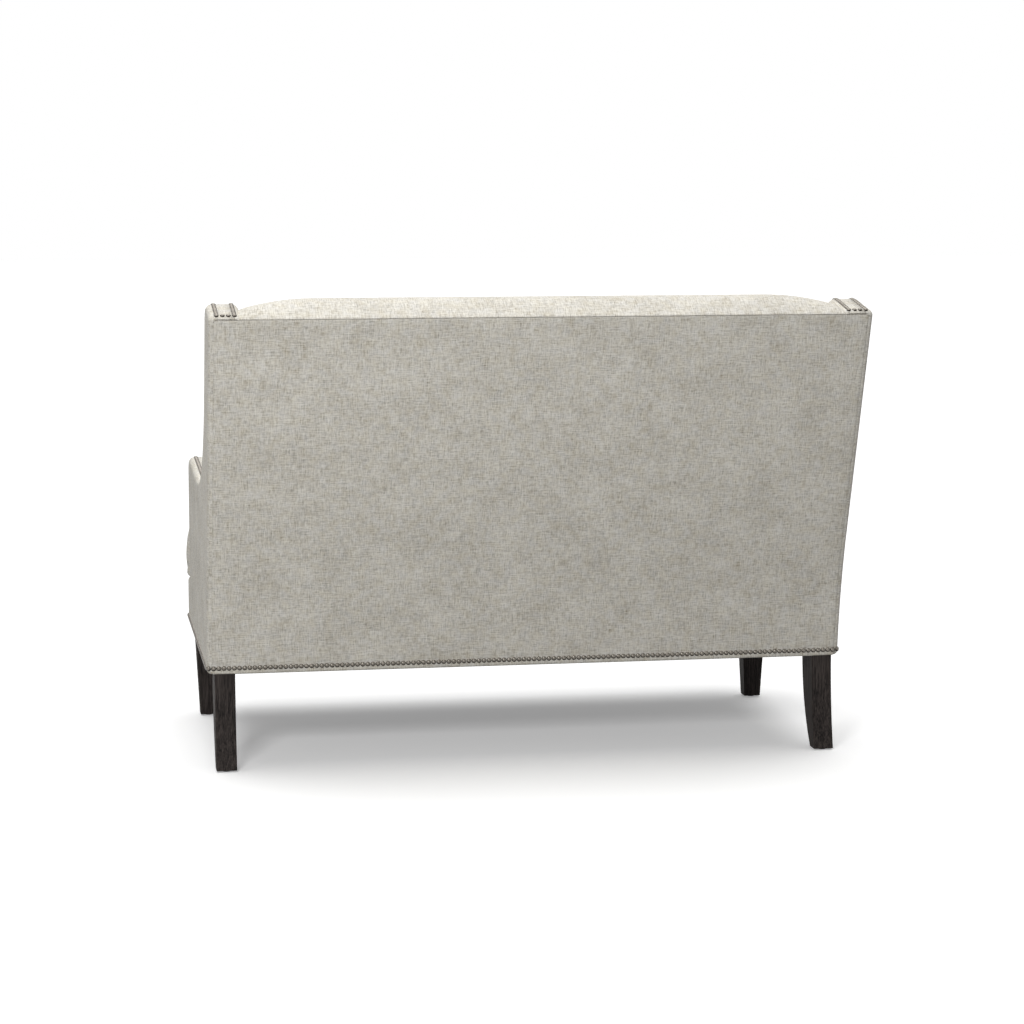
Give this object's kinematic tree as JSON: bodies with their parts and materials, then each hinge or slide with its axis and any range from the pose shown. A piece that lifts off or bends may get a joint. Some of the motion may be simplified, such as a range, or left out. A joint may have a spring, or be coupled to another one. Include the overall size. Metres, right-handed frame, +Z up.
{
  "type": "settee",
  "caption": "Upholstered settee with a raked back, swept wings and set-back arms, a loose T-shaped seat cushion, nailhead trim and dark tapered legs.",
  "frame": {"origin": "on the floor, under the middle of the overall box", "axes": "+Z up, the seat faces -Y, +X along the width to the sitter's left"},
  "size_m": [1.371, 0.9375, 0.9893],
  "materials": {
    "linen_fabric": "matte",
    "foam": "matte",
    "frame_hardwood": "matte",
    "plywood": "matte",
    "leg_wood": "satin",
    "webbing": "matte",
    "cambric": "matte",
    "nail_metal": "satin",
    "bolt_steel": "satin",
    "glide_plastic": "matte"
  },
  "bodies": {
    "settee_body": {"arm_post_left": "frame_hardwood", "arm_post_right": "frame_hardwood", "arm_rail_left": "frame_hardwood", "arm_rail_right": "frame_hardwood", "back_post_left": "frame_hardwood", "back_post_right": "frame_hardwood", "back_top_rail": "frame_hardwood", "back_tuck_rail": "frame_hardwood", "back_uprights": "frame_hardwood", "back_webbing": "webbing", "dust_cover": "cambric", "front_border_cover": "linen_fabric", "front_corner_blocks": "frame_hardwood", "front_leg_left": "leg_wood", "front_leg_right": "leg_wood", "front_rail": "frame_hardwood", "inside_back_pad": "linen_fabric", "inside_side_pad_left": "foam", "inside_side_pad_right": "foam", "leg_bolts": "bolt_steel", "leg_glides": "glide_plastic", "nail_trim_base_front": "nail_metal", "nail_trim_base_left": "nail_metal", "nail_trim_base_rear": "nail_metal", "nail_trim_base_right": "nail_metal", "nail_trim_border_left": "nail_metal", "nail_trim_border_right": "nail_metal", "outside_back_cover": "linen_fabric", "outside_side_cover_left": "linen_fabric", "outside_side_cover_right": "linen_fabric", "rear_corner_blocks": "frame_hardwood", "rear_leg_left": "leg_wood", "rear_leg_right": "leg_wood", "rear_rail": "frame_hardwood", "seat_deck": "foam", "seat_stretcher": "frame_hardwood", "seat_webbing_cross": "webbing", "seat_webbing_long": "webbing", "side_border_left": "linen_fabric", "side_border_right": "linen_fabric", "side_panel_left": "plywood", "side_panel_right": "plywood", "side_rail_left": "frame_hardwood", "side_rail_right": "frame_hardwood", "wing_board_left": "frame_hardwood", "wing_board_right": "frame_hardwood"},
    "seat_cushion": {"seat_cushion_core": "foam", "seat_cushion_cover": "linen_fabric"}
  },
  "joints": [
    {"name": "seat_cushion_lift", "type": "slide", "parent": "settee_body", "child": "seat_cushion", "axis": [0, 0, 1], "range_m": [0, 0.3]}
  ]
}
